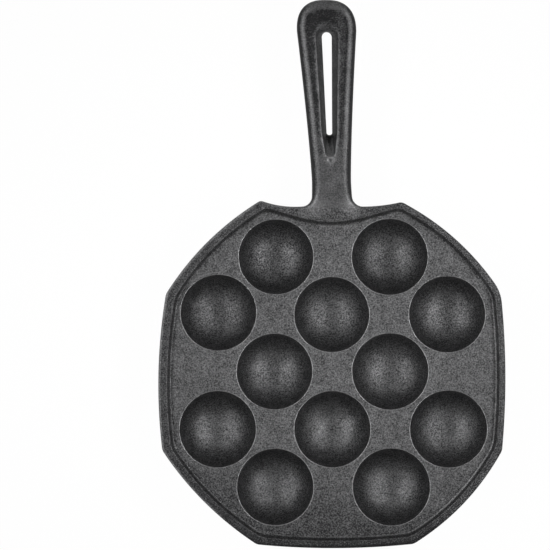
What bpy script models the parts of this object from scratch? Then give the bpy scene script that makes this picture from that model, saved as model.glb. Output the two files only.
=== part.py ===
"""Cast iron takoyaki pan: twelve round cups in an eight-sided plate with a raised rim and a slotted handle.

The pan is one casting. Its regions are separate closed solids that meet face to face on flat planes.
Units are metres. +Z is up, the handle points along +Y, and the pan stands on the flat feet of its cups at Z = 0.
The origin is below the middle of the whole pan's length and width.
"""
import math

import bmesh
import bpy
from mathutils import Matrix, Vector

MM = 0.001

# Cups: each is part of a hollow ball, let into the plate
CUP_MOUTH_RADIUS = 20.3 * MM
CUP_DEPTH = 18.0 * MM
CUP_WALL = 2.5 * MM
CUP_FOOT_RADIUS = 4.5 * MM
BOWL_GAP = 0.45 * MM  # between neighbouring bowls, just under the plate
CUPS_IN_ROWS = (2, 3, 2, 3, 2)  # from the handle's side to the front

# Plate: each margin runs outward from the mouths of the outermost cups,
# and each shift runs from the nearest cup's middle to the corner
PLATE_THICKNESS = 4.2 * MM
BACK_MARGIN = 9.2 * MM
FRONT_MARGIN = 11.0 * MM
SIDE_MARGIN_BACK = 8.4 * MM
SIDE_MARGIN_FRONT = 10.0 * MM
BACK_CORNER_SHIFT = 9.9 * MM
FRONT_CORNER_SHIFT = 12.8 * MM
SIDE_CORNER_SHIFT = 11.6 * MM
BACK_DIP = 2.2 * MM  # how far the back edge falls in from its corners to the handle's root
SIDE_BOW = 3.1 * MM
DIAGONAL_BOW = 4.4 * MM
CORNER_ROUND = 1.6 * MM
EDGE_ROUND = 1.0 * MM

# Rim: a raised band round a pocket whose wall leans outward
RIM_HEIGHT = 4.2 * MM
RIM_WIDTH = 4.0 * MM
RIM_WALL_RUN = 1.9 * MM
POCKET_CORNER_ROUND = 5.0 * MM
POCKET_TIP_ROUND = 14.0 * MM
POCKET_BACK_DIP = 6.2 * MM  # how far the pocket's back falls in, from its corners to the handle's middle line
POCKET_SHIFT = 0.7 * MM  # the pocket lies a little to the right in the outline

# Handle: it rises from the rim, its middle line leans to the left, and places on it are measured from its root
HANDLE_LENGTH = 112.7 * MM
HANDLE_NECK_WIDTH = 21.4 * MM
HANDLE_NECK_PLACE = 13.7 * MM
HANDLE_END_WIDTH = 32.5 * MM
HANDLE_END_RUN = 17.0 * MM  # from its widest place to its tip
HANDLE_END_THICKNESS = 8.6 * MM
HANDLE_ROOT_ROUND = 5.5 * MM
HANDLE_DISH = 1.2 * MM
HANDLE_RISE = math.radians(3.8)
HANDLE_LEAN = math.radians(1.9)
HANDLE_SWELL_POWER = 1.3
HANDLE_END_POWER = 2.5

# Slot: it goes through the handle and widens upward into a groove
SLOT_LENGTH = 56.4 * MM
SLOT_TIP_MARGIN = 17.5 * MM
SLOT_FAR_WIDTH = 5.5 * MM
SLOT_NEAR_WIDTH = 3.3 * MM
GROOVE_SIDE_RUN = 3.5 * MM
GROOVE_FAR_RUN = 4.4 * MM
GROOVE_NEAR_RUN = 15.3 * MM
GROOVE_POINT_RUN = 24.0 * MM  # the near stretch over which the groove closes to a point

OVERRUN = 2.0 * MM  # how far every cutter passes the faces that it cuts
WELD = 0.001 * MM

# Half of the handle's section, from the middle of its underside round to the middle of its top:
# shares of its half width, of its thickness and of its dish
SECTION_SHARES = (
    (0.00, 0.00, 0.0),
    (0.60, 0.00, 0.0),
    (0.86, 0.10, 0.0),
    (1.00, 0.40, 0.0),
    (0.97, 0.74, 0.0),
    (0.90, 0.93, 0.0),
    (0.76, 1.00, 0.0),
    (0.52, 1.00, 0.6),
    (0.00, 1.00, 1.0),
)
ROOT_SHARES = (0.0, 0.06, 0.18, 0.36, 0.6)  # stations along the handle, as shares of each stretch
SHANK_SHARES = (0.0, 0.09, 0.2, 0.36, 0.52, 0.68, 0.84)
TIP_SHARES = (0.0, 0.35, 0.62, 0.82, 0.94, 1.0)
TIP_WIDTH_SHARE = 0.24
TIP_THICKNESS_SHARE = 0.55

# How finely the curved surfaces are divided
CUP_SEGMENTS = 32
INNER_RINGS = 5
OUTER_RINGS = 4
BOW_STEPS = 6
CORNER_STEPS = 3
HOLE_END_STEPS = 8
SMOOTH_ANGLE = math.radians(35)

IRON_COLOUR = (0.042, 0.042, 0.044, 1.0)
IRON_METALLIC = 0.35
PLATE_ROUGHNESS = 0.62
CUP_ROUGHNESS = 0.5
RIM_ROUGHNESS = 0.66
HANDLE_ROUGHNESS = 0.58

# What follows from the sizes above
BALL_RADIUS = (CUP_MOUTH_RADIUS**2 + CUP_DEPTH**2) / (2 * CUP_DEPTH)
SHELL_RADIUS = BALL_RADIUS + CUP_WALL
CENTRE_HEIGHT = math.sqrt(SHELL_RADIUS**2 - CUP_FOOT_RADIUS**2)
PLATE_TOP = CENTRE_HEIGHT - BALL_RADIUS + CUP_DEPTH
PLATE_UNDERSIDE = PLATE_TOP - PLATE_THICKNESS
RIM_TOP = PLATE_TOP + RIM_HEIGHT
INNER_TOP_RADIUS = math.sqrt(BALL_RADIUS**2 - (CENTRE_HEIGHT - PLATE_UNDERSIDE) ** 2)
OUTER_TOP_RADIUS = math.sqrt(SHELL_RADIUS**2 - (CENTRE_HEIGHT - PLATE_UNDERSIDE) ** 2)
HALF_PITCH = (2 * OUTER_TOP_RADIUS + BOWL_GAP) / math.sqrt(2)
REACH = (max(CUPS_IN_ROWS) - 1) * HALF_PITCH + CUP_MOUTH_RADIUS
ROOT_Y = REACH + BACK_MARGIN - BACK_DIP
HANDLE_WIDEST_PLACE = HANDLE_LENGTH - HANDLE_END_RUN


def clear_scene():
    for old in list(bpy.data.objects):
        bpy.data.objects.remove(old)


def new_collection(name):
    collection = bpy.data.collections.new(name)
    bpy.context.scene.collection.children.link(collection)
    return collection


def seasoned_iron(name, roughness):
    """Seasoned cast iron: nearly black, with a soft oily sheen."""
    material = bpy.data.materials.new(name)
    material.use_nodes = True
    shader = material.node_tree.nodes["Principled BSDF"]
    shader.inputs["Base Color"].default_value = IRON_COLOUR
    shader.inputs["Metallic"].default_value = IRON_METALLIC
    shader.inputs["Roughness"].default_value = roughness
    material.diffuse_color = IRON_COLOUR
    return material


def place(name, mesh, collection, pan):
    thing = bpy.data.objects.new(name, mesh)
    collection.objects.link(thing)
    thing.parent = pan
    return thing


def make_part(name, mesh, collection, pan, material):
    mesh.materials.append(material)
    mesh.shade_smooth()
    mesh.set_sharp_from_angle(angle=SMOOTH_ANGLE)
    return place(name, mesh, collection, pan)


def make_cutter(name, mesh, collection, pan):
    cutter = place(name, mesh, collection, pan)
    cutter.hide_render = True
    cutter.display_type = "WIRE"
    return cutter


def cut(thing, cutter):
    modifier = thing.modifiers.new(cutter.name, "BOOLEAN")
    modifier.operation = "DIFFERENCE"
    modifier.solver = "EXACT"
    modifier.object = cutter


def cup_centres():
    """The middle of each cup, row by row from the handle's side, and from left to right."""
    centres = []
    for row, count in enumerate(CUPS_IN_ROWS):
        y = ((len(CUPS_IN_ROWS) - 1) / 2 - row) * HALF_PITCH
        for column in range(count):
            centres.append(Vector((2 * column - count + 1, 0)) * HALF_PITCH + Vector((0, y)))
    return centres


def right_corners():
    """The outline's corners on the right, from the front to the back."""
    return [
        Vector((HALF_PITCH + FRONT_CORNER_SHIFT, -REACH - FRONT_MARGIN)),
        Vector((REACH + SIDE_MARGIN_FRONT, -HALF_PITCH - SIDE_CORNER_SHIFT)),
        Vector((REACH + SIDE_MARGIN_BACK, HALF_PITCH + SIDE_CORNER_SHIFT)),
        Vector((HALF_PITCH + BACK_CORNER_SHIFT, REACH + BACK_MARGIN)),
    ]


def mirrored(corners):
    return [Vector((-corner.x, corner.y)) for corner in reversed(corners)]


def inset_corners(corners, inset):
    """The corners of an anticlockwise polygon after each side has moved inward by the inset."""
    moved = []
    for number, corner in enumerate(corners):
        before = (corner - corners[number - 1]).normalized().orthogonal()
        after = (corners[(number + 1) % len(corners)] - corner).normalized().orthogonal()
        moved.append(corner + (before + after) * inset / (1 + before.dot(after)))
    return moved


def bowed_side(start, end, bow, start_round, end_round):
    """Points along a side that bulges outward by its bow, without what its rounded corners take."""
    along = end - start
    outward = -along.normalized().orthogonal()
    steps = BOW_STEPS if bow else 1
    first = start_round / along.length
    last = 1 - end_round / along.length
    points = []
    for step in range(steps + 1):
        share = first + (last - first) * step / steps
        points.append(start + along * share + outward * bow * 4 * share * (1 - share))
    return points


def bowed_outline(corners, bows, rounds):
    """A closed outline of bulging sides and rounded corners. A side's bow has the number of its first corner."""
    sides = []
    for number, start in enumerate(corners):
        following = (number + 1) % len(corners)
        sides.append(bowed_side(start, corners[following], bows[number], rounds[number], rounds[following]))
    outline = []
    for number, corner in enumerate(corners):
        start, end = sides[number - 1][-1], sides[number][0]
        outline.append(start)
        if rounds[number]:
            for step in range(1, CORNER_STEPS):
                share = step / CORNER_STEPS
                outline.append(start.lerp(corner, share).lerp(corner.lerp(end, share), share))
            outline.append(end)
        outline.extend(sides[number][1:-1])
    return outline


def pan_outline():
    """The outer edge of plate and rim, with a straight stretch where the handle's root meets it."""
    right = right_corners() + [Vector((handle_half_width(0), ROOT_Y))]
    bows = [DIAGONAL_BOW, SIDE_BOW, DIAGONAL_BOW, 0, 0, 0, DIAGONAL_BOW, SIDE_BOW, DIAGONAL_BOW, SIDE_BOW]
    rounds = [CORNER_ROUND] * 4 + [0, 0] + [CORNER_ROUND] * 4
    return bowed_outline(right + mirrored(right), bows, rounds)


def pocket_outline(inset):
    """The inner edge of the rim at one level, inset from the outer edge, with a shallow point at the handle."""
    right = right_corners()
    tip = Vector((0, REACH + BACK_MARGIN - POCKET_BACK_DIP))
    corners = inset_corners(right + [tip] + mirrored(right), inset)
    bows = [DIAGONAL_BOW, SIDE_BOW, DIAGONAL_BOW, 0, 0, DIAGONAL_BOW, SIDE_BOW, DIAGONAL_BOW, SIDE_BOW]
    rounds = [POCKET_CORNER_ROUND] * 4 + [POCKET_TIP_ROUND] + [POCKET_CORNER_ROUND] * 4
    return [point + Vector((POCKET_SHIFT, 0)) for point in bowed_outline(corners, bows, rounds)]


def flat_mesh(name, outline, low, high):
    """A flat slab between two levels, from a filled curve. Its two faces are left undivided."""
    curve = bpy.data.curves.new(name, "CURVE")
    curve.dimensions = "2D"
    curve.fill_mode = "BOTH"
    curve.extrude = (high - low) / 2
    spline = curve.splines.new("POLY")
    spline.points.add(len(outline) - 1)
    for point, corner in zip(spline.points, outline):
        point.co = (corner.x, corner.y, 0, 1)
    spline.use_cyclic_u = True
    guide = bpy.data.objects.new(name, curve)
    bpy.context.scene.collection.objects.link(guide)
    mesh = bpy.data.meshes.new_from_object(guide.evaluated_get(bpy.context.evaluated_depsgraph_get()))
    bpy.data.objects.remove(guide)
    bpy.data.curves.remove(curve)
    slab = bmesh.new()
    slab.from_mesh(mesh)
    bmesh.ops.remove_doubles(slab, verts=slab.verts, dist=WELD)
    for corner in slab.verts:
        corner.co.z = high if corner.co.z > 0 else low
    bmesh.ops.dissolve_limit(slab, angle_limit=math.radians(1), verts=slab.verts, edges=slab.edges)
    return slab, mesh


def round_edge(slab, level):
    """Rounds the slab's outer edge at one level, but not where the handle's root meets it."""
    edges = []
    for edge in slab.edges:
        heights = [abs(corner.co.z - level) for corner in edge.verts]
        at_root = all(abs(corner.co.y - ROOT_Y) < WELD for corner in edge.verts)
        if max(heights) < WELD and not at_root:
            edges.append(edge)
    bmesh.ops.bevel(slab, geom=edges, offset=EDGE_ROUND, segments=2, profile=0.5, affect="EDGES")


def loft_mesh(name, rings):
    """A closed solid through rings of equally many points, with a flat cap at each end."""
    solid = bmesh.new()
    loops = [[solid.verts.new(point) for point in ring] for ring in rings]
    for low, high in zip(loops, loops[1:]):
        for number in range(len(low)):
            solid.faces.new((low[number - 1], low[number], high[number], high[number - 1]))
    solid.faces.new(loops[0])
    solid.faces.new(loops[-1])
    bmesh.ops.recalc_face_normals(solid, faces=solid.faces)
    mesh = bpy.data.meshes.new(name)
    solid.to_mesh(mesh)
    solid.free()
    return mesh


def cup_profile():
    """The cup's section, from the middle of its floor up its inside, over its top and down to its foot."""
    inner_angle = math.asin(INNER_TOP_RADIUS / BALL_RADIUS)
    outer_angle = math.asin(OUTER_TOP_RADIUS / SHELL_RADIUS)
    foot_angle = math.asin(CUP_FOOT_RADIUS / SHELL_RADIUS)
    points = []
    for ring in range(INNER_RINGS):
        angle = inner_angle * ring / INNER_RINGS
        points.append((BALL_RADIUS * math.sin(angle), CENTRE_HEIGHT - BALL_RADIUS * math.cos(angle)))
    points.append((INNER_TOP_RADIUS, PLATE_UNDERSIDE))
    points.append((OUTER_TOP_RADIUS, PLATE_UNDERSIDE))
    for ring in range(1, OUTER_RINGS):
        angle = outer_angle + (foot_angle - outer_angle) * ring / OUTER_RINGS
        points.append((SHELL_RADIUS * math.sin(angle), CENTRE_HEIGHT - SHELL_RADIUS * math.cos(angle)))
    points.append((CUP_FOOT_RADIUS, 0))
    points.append((0, 0))
    return points


def make_cups(collection, pan):
    """Twelve bowls, whose level tops meet the plate's underside."""
    points = cup_profile()
    mesh = bpy.data.meshes.new("cup")
    edges = [(number, number + 1) for number in range(len(points) - 1)]
    mesh.from_pydata([(x, 0, z) for x, z in points], edges, [])
    mesh.materials.append(seasoned_iron("cup_iron", CUP_ROUGHNESS))
    for number, centre in enumerate(cup_centres(), start=1):
        cup = place(f"cup_{number:02d}", mesh, collection, pan)
        cup.location = (centre.x, centre.y, 0)
        screw = cup.modifiers.new("turn", "SCREW")
        screw.axis = "Z"
        screw.angle = 2 * math.pi
        screw.steps = screw.render_steps = CUP_SEGMENTS
        screw.use_merge_vertices = True
        screw.merge_threshold = WELD
        screw.use_smooth_shade = True


def make_plate(collection, cutters, pan):
    """The flat cooking plate, whose holes carry on the insides of the cups."""
    slab, mesh = flat_mesh("griddle_plate", pan_outline(), PLATE_UNDERSIDE, PLATE_TOP)
    round_edge(slab, PLATE_UNDERSIDE)
    slab.to_mesh(mesh)
    slab.free()
    plate = make_part("griddle_plate", mesh, collection, pan, seasoned_iron("plate_iron", PLATE_ROUGHNESS))
    widening = (CUP_MOUTH_RADIUS - INNER_TOP_RADIUS) / PLATE_THICKNESS * OVERRUN
    holes = bmesh.new()
    for centre in cup_centres():
        bmesh.ops.create_cone(
            holes,
            cap_ends=True,
            segments=CUP_SEGMENTS,
            radius1=INNER_TOP_RADIUS - widening,
            radius2=CUP_MOUTH_RADIUS + widening,
            depth=PLATE_THICKNESS + 2 * OVERRUN,
            matrix=Matrix.Translation((centre.x, centre.y, PLATE_TOP - PLATE_THICKNESS / 2)),
        )
    mesh = bpy.data.meshes.new("cup_holes")
    holes.to_mesh(mesh)
    holes.free()
    cut(plate, make_cutter("cup_holes", mesh, cutters, pan))


def make_rim(collection, cutters, pan):
    """The raised band that stands on the plate's edge."""
    slab, mesh = flat_mesh("rim", pan_outline(), PLATE_TOP, RIM_TOP)
    round_edge(slab, RIM_TOP)
    slab.to_mesh(mesh)
    slab.free()
    rim = make_part("rim", mesh, collection, pan, seasoned_iron("rim_iron", RIM_ROUGHNESS))
    rings = []
    for height in (PLATE_TOP - OVERRUN, RIM_TOP + OVERRUN):
        inset = RIM_WIDTH + RIM_WALL_RUN * (RIM_TOP - height) / RIM_HEIGHT
        rings.append([Vector((point.x, point.y, height)) for point in pocket_outline(inset)])
    cut(rim, make_cutter("pocket", loft_mesh("pocket", rings), cutters, pan))


def handle_half_width(along):
    """Half of the handle's width at a place along it: a round root, a narrow neck and a rounded end."""
    if along > HANDLE_WIDEST_PLACE:
        share = min((along - HANDLE_WIDEST_PLACE) / HANDLE_END_RUN, 1)
        width_share = (1 - share**HANDLE_END_POWER) ** (1 / HANDLE_END_POWER)
        return HANDLE_END_WIDTH / 2 * max(width_share, TIP_WIDTH_SHARE)
    swell = abs(along - HANDLE_NECK_PLACE) / (HANDLE_WIDEST_PLACE - HANDLE_NECK_PLACE)
    width = HANDLE_NECK_WIDTH + (HANDLE_END_WIDTH - HANDLE_NECK_WIDTH) * swell**HANDLE_SWELL_POWER
    left_of_root = max(HANDLE_ROOT_ROUND - along, 0)
    flare = HANDLE_ROOT_ROUND - math.sqrt(HANDLE_ROOT_ROUND**2 - left_of_root**2)
    return width / 2 + flare


def handle_point(across, along, height_share, drop=0.0):
    """A point of the handle, given across its middle line, along it, and as a share of its thickness."""
    thickness = RIM_TOP - PLATE_UNDERSIDE
    thickness += (HANDLE_END_THICKNESS - thickness) * along / HANDLE_LENGTH
    top = RIM_TOP + math.tan(HANDLE_RISE) * along
    x = across - math.tan(HANDLE_LEAN) * along
    return Vector((x, ROOT_Y + along, top - thickness * (1 - height_share) - drop))


def handle_section(along):
    """A closed ring of points round the handle at one place."""
    tip_share = max(along - HANDLE_WIDEST_PLACE, 0) / HANDLE_END_RUN
    dish = HANDLE_DISH * math.sqrt(along / HANDLE_LENGTH) * (1 - tip_share**2)
    squeeze = 1 - (1 - TIP_THICKNESS_SHARE) * tip_share**4
    half_width = handle_half_width(along)
    right, left = [], []
    for width_share, height_share, dish_share in SECTION_SHARES:
        height_share = (height_share - 1 / 2) * squeeze + 1 / 2
        right.append(handle_point(half_width * width_share, along, height_share, dish * dish_share))
        left.append(handle_point(-half_width * width_share, along, height_share, dish * dish_share))
    return right + left[-2:0:-1]


def long_hole(far_reach, far_half, near_reach, near_half, near_run, height_share):
    """The outline of a tapering hole along the handle, round at its far end and rounded or pointed at its near one."""
    far_middle = far_reach - far_half
    near_middle = near_reach + near_run
    outline = []
    for middle, half, run, side in ((far_middle, far_half, far_half, 1), (near_middle, near_half, near_run, -1)):
        for step in range(HOLE_END_STEPS + 1):
            angle = math.pi * step / HOLE_END_STEPS
            across = side * half * math.cos(angle)
            outline.append(handle_point(across, middle + side * run * math.sin(angle), height_share))
    return outline


def slot_cutter_mesh():
    """The slot's outline at the handle's underside, lofted to the groove's outline at its top."""
    far_reach = HANDLE_LENGTH - SLOT_TIP_MARGIN
    near_reach = far_reach - SLOT_LENGTH
    far_half, near_half = SLOT_FAR_WIDTH / 2, SLOT_NEAR_WIDTH / 2
    slot = long_hole(far_reach, far_half, near_reach, near_half, near_half, 0)
    groove = long_hole(
        far_reach + GROOVE_FAR_RUN,
        far_half + GROOVE_SIDE_RUN,
        near_reach - GROOVE_NEAR_RUN,
        near_half + GROOVE_SIDE_RUN,
        GROOVE_POINT_RUN,
        1,
    )
    past = OVERRUN / HANDLE_END_THICKNESS
    rings = []
    for share in (-past, 1 + past):
        rings.append([low.lerp(high, share) for low, high in zip(slot, groove)])
    return loft_mesh("slot", rings)


def make_handle(collection, cutters, pan):
    """The flat handle, which meets the plate and the rim on one upright plane."""
    places = [HANDLE_ROOT_ROUND * share for share in ROOT_SHARES]
    shank = HANDLE_WIDEST_PLACE - HANDLE_ROOT_ROUND
    places += [HANDLE_ROOT_ROUND + shank * share for share in SHANK_SHARES]
    places += [HANDLE_WIDEST_PLACE + HANDLE_END_RUN * share for share in TIP_SHARES]
    mesh = loft_mesh("handle", [handle_section(along) for along in places])
    handle = make_part("handle", mesh, collection, pan, seasoned_iron("handle_iron", HANDLE_ROUGHNESS))
    cut(handle, make_cutter("slot", slot_cutter_mesh(), cutters, pan))


def main():
    clear_scene()
    collection = new_collection("takoyaki_pan")
    cutters = new_collection("cutters")
    pan = bpy.data.objects.new("pan_middle", None)
    collection.objects.link(pan)
    front = min(point.y for point in pan_outline())
    pan.location = (0, -(ROOT_Y + HANDLE_LENGTH + front) / 2, 0)
    make_plate(collection, cutters, pan)
    make_cups(collection, pan)
    make_rim(collection, cutters, pan)
    make_handle(collection, cutters, pan)


main()
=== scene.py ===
"""Gives the cast iron takoyaki pan the skin of its casting, and sets it on a pale floor between soft lamps.

The file is laid out as an add-on and is run as a script. Lengths are metres and Z is up. Outlines are worked out
from the pan's middle, with the handle towards +Y, and are moved to the frame's own place as meshes are made.
"""
import math

import bmesh
import bpy
import numpy
from bpy.props import FloatProperty, IntProperty, PointerProperty, StringProperty
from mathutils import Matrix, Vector, noise
from mathutils.geometry import delaunay_2d_cdt


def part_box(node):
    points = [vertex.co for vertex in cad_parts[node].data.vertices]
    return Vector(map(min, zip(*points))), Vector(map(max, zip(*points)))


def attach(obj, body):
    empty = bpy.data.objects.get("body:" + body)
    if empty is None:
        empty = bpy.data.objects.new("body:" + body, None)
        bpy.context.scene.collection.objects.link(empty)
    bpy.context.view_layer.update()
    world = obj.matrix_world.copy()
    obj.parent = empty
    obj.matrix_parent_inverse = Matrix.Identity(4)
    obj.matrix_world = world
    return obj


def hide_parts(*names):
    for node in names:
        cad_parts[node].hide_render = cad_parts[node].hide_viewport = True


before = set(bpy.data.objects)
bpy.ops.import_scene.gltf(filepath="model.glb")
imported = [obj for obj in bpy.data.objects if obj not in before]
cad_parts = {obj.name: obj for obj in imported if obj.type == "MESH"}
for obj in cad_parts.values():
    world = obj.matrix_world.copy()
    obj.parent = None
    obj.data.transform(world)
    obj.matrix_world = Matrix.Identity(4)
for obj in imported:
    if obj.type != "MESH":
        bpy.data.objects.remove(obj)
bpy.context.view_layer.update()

bl_info = {
    "name": "Cast iron takoyaki pan",
    "version": (1, 0, 0),
    "blender": (4, 5, 0),
    "location": "View3D > Sidebar > Takoyaki pan",
    "description": "Makes the skin of a cast iron takoyaki pan over its packed solids",
    "category": "Add Mesh",
}

MM = 0.001

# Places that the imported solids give
CUP_BOXES = [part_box(f"cup_{number:02d}") for number in range(1, 13)]
CUP_CENTRES = [((low + high) / 2).xy for low, high in CUP_BOXES]
PLATE_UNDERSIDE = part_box("griddle_plate")[0].z
PLATE_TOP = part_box("griddle_plate")[1].z
RIM_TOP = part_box("rim")[1].z
PAN_MIDDLE = (CUP_CENTRES[5] + CUP_CENTRES[6]) / 2
HALF_PITCH = (CUP_CENTRES[6].x - CUP_CENTRES[5].x) / 2
ROOT_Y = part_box("handle")[0].y - PAN_MIDDLE.y
HANDLE_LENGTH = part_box("handle")[1].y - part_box("handle")[0].y

# The cups' outer ball, as the solids have it
CUP_MOUTH_RADIUS = 20.3 * MM
CUP_DEPTH = 18.0 * MM
CUP_FOOT_RADIUS = 4.5 * MM
CENTRE_HEIGHT = PLATE_TOP - CUP_DEPTH + (CUP_MOUTH_RADIUS**2 + CUP_DEPTH**2) / (2 * CUP_DEPTH)
SHELL_RADIUS = math.hypot(CENTRE_HEIGHT, CUP_FOOT_RADIUS)
REACH = 2 * HALF_PITCH + CUP_MOUTH_RADIUS

# How far each cup of the casting lies to the right of its true place, how far back, and how much wider it is, in mm
CUP_STRAYS = (
    (0.57, -0.26, 0.07),
    (0.09, -0.26, 0.39),
    (0.44, 0.55, 0.35),
    (-0.28, -0.46, 0.15),
    (0.11, -0.34, 0.46),
    (-0.22, -0.31, 0.33),
    (0.36, -0.24, 0.48),
    (0.06, -0.53, 0.52),
    (0.05, -0.53, 0.46),
    (0.92, -0.41, 0.72),
    (0.18, -0.74, 0.53),
    (0.98, -0.75, 0.72),
)
CUPS = [
    (centre + Vector((right, back)) * MM, CUP_MOUTH_RADIUS + wider * MM)
    for centre, (right, back, wider) in zip(CUP_CENTRES, CUP_STRAYS)
]

# The pan's eight corners, anticlockwise from the front right, and each side's bow and band, from its first corner.
# They follow the solids' outline, but are out of true by up to 3 mm as the casting is.
PAN_CORNERS = [
    Vector(place) * MM
    for place in (
        (44.60, -94.75),
        (93.09, -43.54),
        (92.37, 43.17),
        (38.10, 92.60),
        (-39.30, 93.40),
        (-91.17, 42.12),
        (-93.16, -43.58),
        (-41.40, -95.05),
    )
]
SIDE_BOWS = [bow * MM for bow in (4.65, 2.18, 4.80, 0.0, 4.3, 3.1, 3.79, 2.2)]
BAND_WIDTHS = [width * MM for width in (4.35, 3.50, 3.35, 2.65, 4.75, 5.00, 4.60, 4.40)]
CORNER_ROUND = 1.6 * MM
BACK_RIGHT_ROUND = 5.5 * MM
RIM_WALL_RUN = 1.4 * MM
POCKET_CORNER_ROUND = 3.2 * MM
POCKET_TIP_ROUND = 19.0 * MM
POCKET_TIP = Vector((0.0, 81.95)) * MM
BACK_LEFT_BAND = 3.1 * MM
BACK_RIGHT_BOW = -0.6 * MM
BACK_LEFT_BOW = -1.2 * MM

# The handle's outline, rise and slot, as the solids have them
HANDLE_NECK_WIDTH = 21.4 * MM
HANDLE_NECK_PLACE = 13.7 * MM
HANDLE_END_WIDTH = 32.5 * MM
HANDLE_END_RUN = 17.0 * MM
HANDLE_THICKNESS_GAIN = 0.2 * MM
HANDLE_ROOT_ROUND = 5.5 * MM
HANDLE_RISE = math.radians(3.77)
HANDLE_LEAN = math.radians(1.9)
HANDLE_SWELL_POWER = 1.3
HANDLE_END_POWER = 2.5
HANDLE_WIDEST_PLACE = HANDLE_LENGTH - HANDLE_END_RUN
SLOT_FAR_PLACE = HANDLE_LENGTH - 17.5 * MM
SLOT_NEAR_PLACE = SLOT_FAR_PLACE - 54.9 * MM
SLOT_FAR_HALF = 2.75 * MM
SLOT_NEAR_HALF = 1.5 * MM
SLOT_NEAR_SHIFT = -0.25 * MM

# The slot's groove: its walls' runs, and how far its floor climbs at either end
GROOVE_NEAR_WALL = 2.7 * MM
GROOVE_FAR_WALL = 3.4 * MM
GROOVE_NEAR_RUN = 11.8 * MM
GROOVE_FAR_RUN = 4.4 * MM
SLOT_FAR_MIDDLE = SLOT_FAR_PLACE - SLOT_FAR_HALF

# The mark where the groove runs out towards the root
MOUND_PLACE = Vector((-1.0, 115.4)) * MM
MOUND_HEIGHT = 0.35 * MM
MOUND_RING = 1.9 * MM
MOUND_WIDTH = 0.9 * MM
MOUND_PIT = 0.5
MOUND_PITCH = 0.45 * MM

# Ranges along the handle from its root, and across it from its middle, over which its forms come and go
RISE_BEND = 6 * MM
RISE_START = (-8 * MM, 2 * MM)
TIP_DROOP = 1.93 * MM
SWELL_START = (-7.5 * MM, 5 * MM)
SWELL_END = (8 * MM, 60 * MM)
SWELL_SIDE = (6 * MM, 15 * MM)
DISH_START = (12 * MM, 45 * MM)
DISH_SLOPE = 6.5 * MM
EDGE_START = (-8 * MM, 11 * MM)
SHANK = (15 * MM, 60 * MM)
NARROW_BACK = (80 * MM, 90 * MM)

# How much paler (above 0) or darker (below 0) than elsewhere on the piece. Hands polish the handle's top and its dish
# is darker; the others are painted highlights and painted shade, on the handle's flares, sides and mound, on the rim's
# left and front edges, along the pocket's top round and base fillet, down the slot's walls and on the cups' floors,
# more in the front cups.
HAND_WEAR = 0.14
FLARE_HIGHLIGHT = 0.4
MOUND_HIGHLIGHT_AND_SHADE = 0.45
DISH_DARKENING = 0.37
SIDE_SHADE = 0.6
LEFT_RIM_HIGHLIGHT = 0.5
FRONT_RIM_SHADE = 0.3
POCKET_TOP_HIGHLIGHT = 0.15
POCKET_BASE_HIGHLIGHT = 0.36
SLOT_WALL_SHADE = 0.2
CUP_FLOOR_LIGHT = 0.165
CUP_FLOOR_LIGHT_PER_METRE = 0.9

# The stage: the lamps' sides, places towards the back in lamp reaches, and shares of the power
LAMPS = (
    (-1, -0.45, 1.0),
    (-1, 0.05, 0.9),
    (-1, 0.55, 0.9),
    (1, -0.45, 1.1),
    (1, 0.05, 1.05),
    (1, 0.55, 1.05),
)
LAMP_SIDE = 0.67
LAMP_HEIGHT = 0.74
POOL_RIGHT = 12 * MM
FLOOR_HALF = 2.0
FLOOR_DROP = 0.1 * MM

# How finely outlines and edges are divided
BOW_STEPS = 20
CORNER_STEPS = 6
FLARE_STEPS = 8
SHANK_STEPS = 36
TIP_STEPS = 20
EDGE_STEPS = 7
SLOT_SIDE_STEPS = 44
SLOT_END_STEPS = 8
CUT_STEPS = 16
TOP_PITCH = 1.7 * MM
UNDER_PITCH = 3.0 * MM
GRID_START = -9 * MM
GRID_HALF_COLUMNS = 14
GRID_ROOM = 0.4 * MM


def length(name, description, default):
    return FloatProperty(name=name, description=description, default=default, unit="LENGTH", precision=5)


def fraction(name, description, default):
    return FloatProperty(name=name, description=description, default=default, min=0, max=1)


class TakoyakiPanForm(bpy.types.PropertyGroup):
    """Sizes of the rounded edges and hollows that casting, grinding and use give the pan"""

    lip_round: length("Lip round", "Radius over each cup's mouth", 0.6 * MM)
    bowl_flare: length("Bowl flare", "Fillet under the plate round each bowl", 1.4 * MM)
    unevenness: length("Unevenness", "How far a bowl strays from a true ball", 0.14 * MM)
    turns: IntProperty(name="Cup divisions", description="Steps round each cup", default=64, min=24, max=128)
    rim_round_left: length("Rim round, left", "Run of the rim's outer round on its left", 1.5 * MM)
    rim_round_right: length("Rim round, right", "Run of the rim's outer round on its right", 2.7 * MM)
    rim_round_drop: length("Rim round's drop", "Height of the rim's outer round", 1.3 * MM)
    under_round: length("Under round", "Round along the plate's lower edge", 1.0 * MM)
    draft: length("Draft", "How far the outer wall leans in towards its top", 0.3 * MM)
    pocket_top_round: length("Pocket's top round", "Reach of the round between rim and wall", 0.55 * MM)
    pocket_base_round: length("Pocket's base round", "Reach of the fillet between wall and plate", 1.1 * MM)
    pocket_back_round: length("Pocket's back round", "Reach of that fillet where the cups come near it", 0.6 * MM)
    handle_edge_run: length("Handle's edge", "Run of the round along the handle's top", 5.0 * MM)
    handle_dish: length("Handle's dish", "Depth of the hollow between the handle's edges", 1.1 * MM)
    root_swell: length("Root swell", "Extra height where the handle runs on to the rim", 0.9 * MM)
    groove_round: length("Groove round", "Round along the slot's edges", 0.45 * MM)


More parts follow.
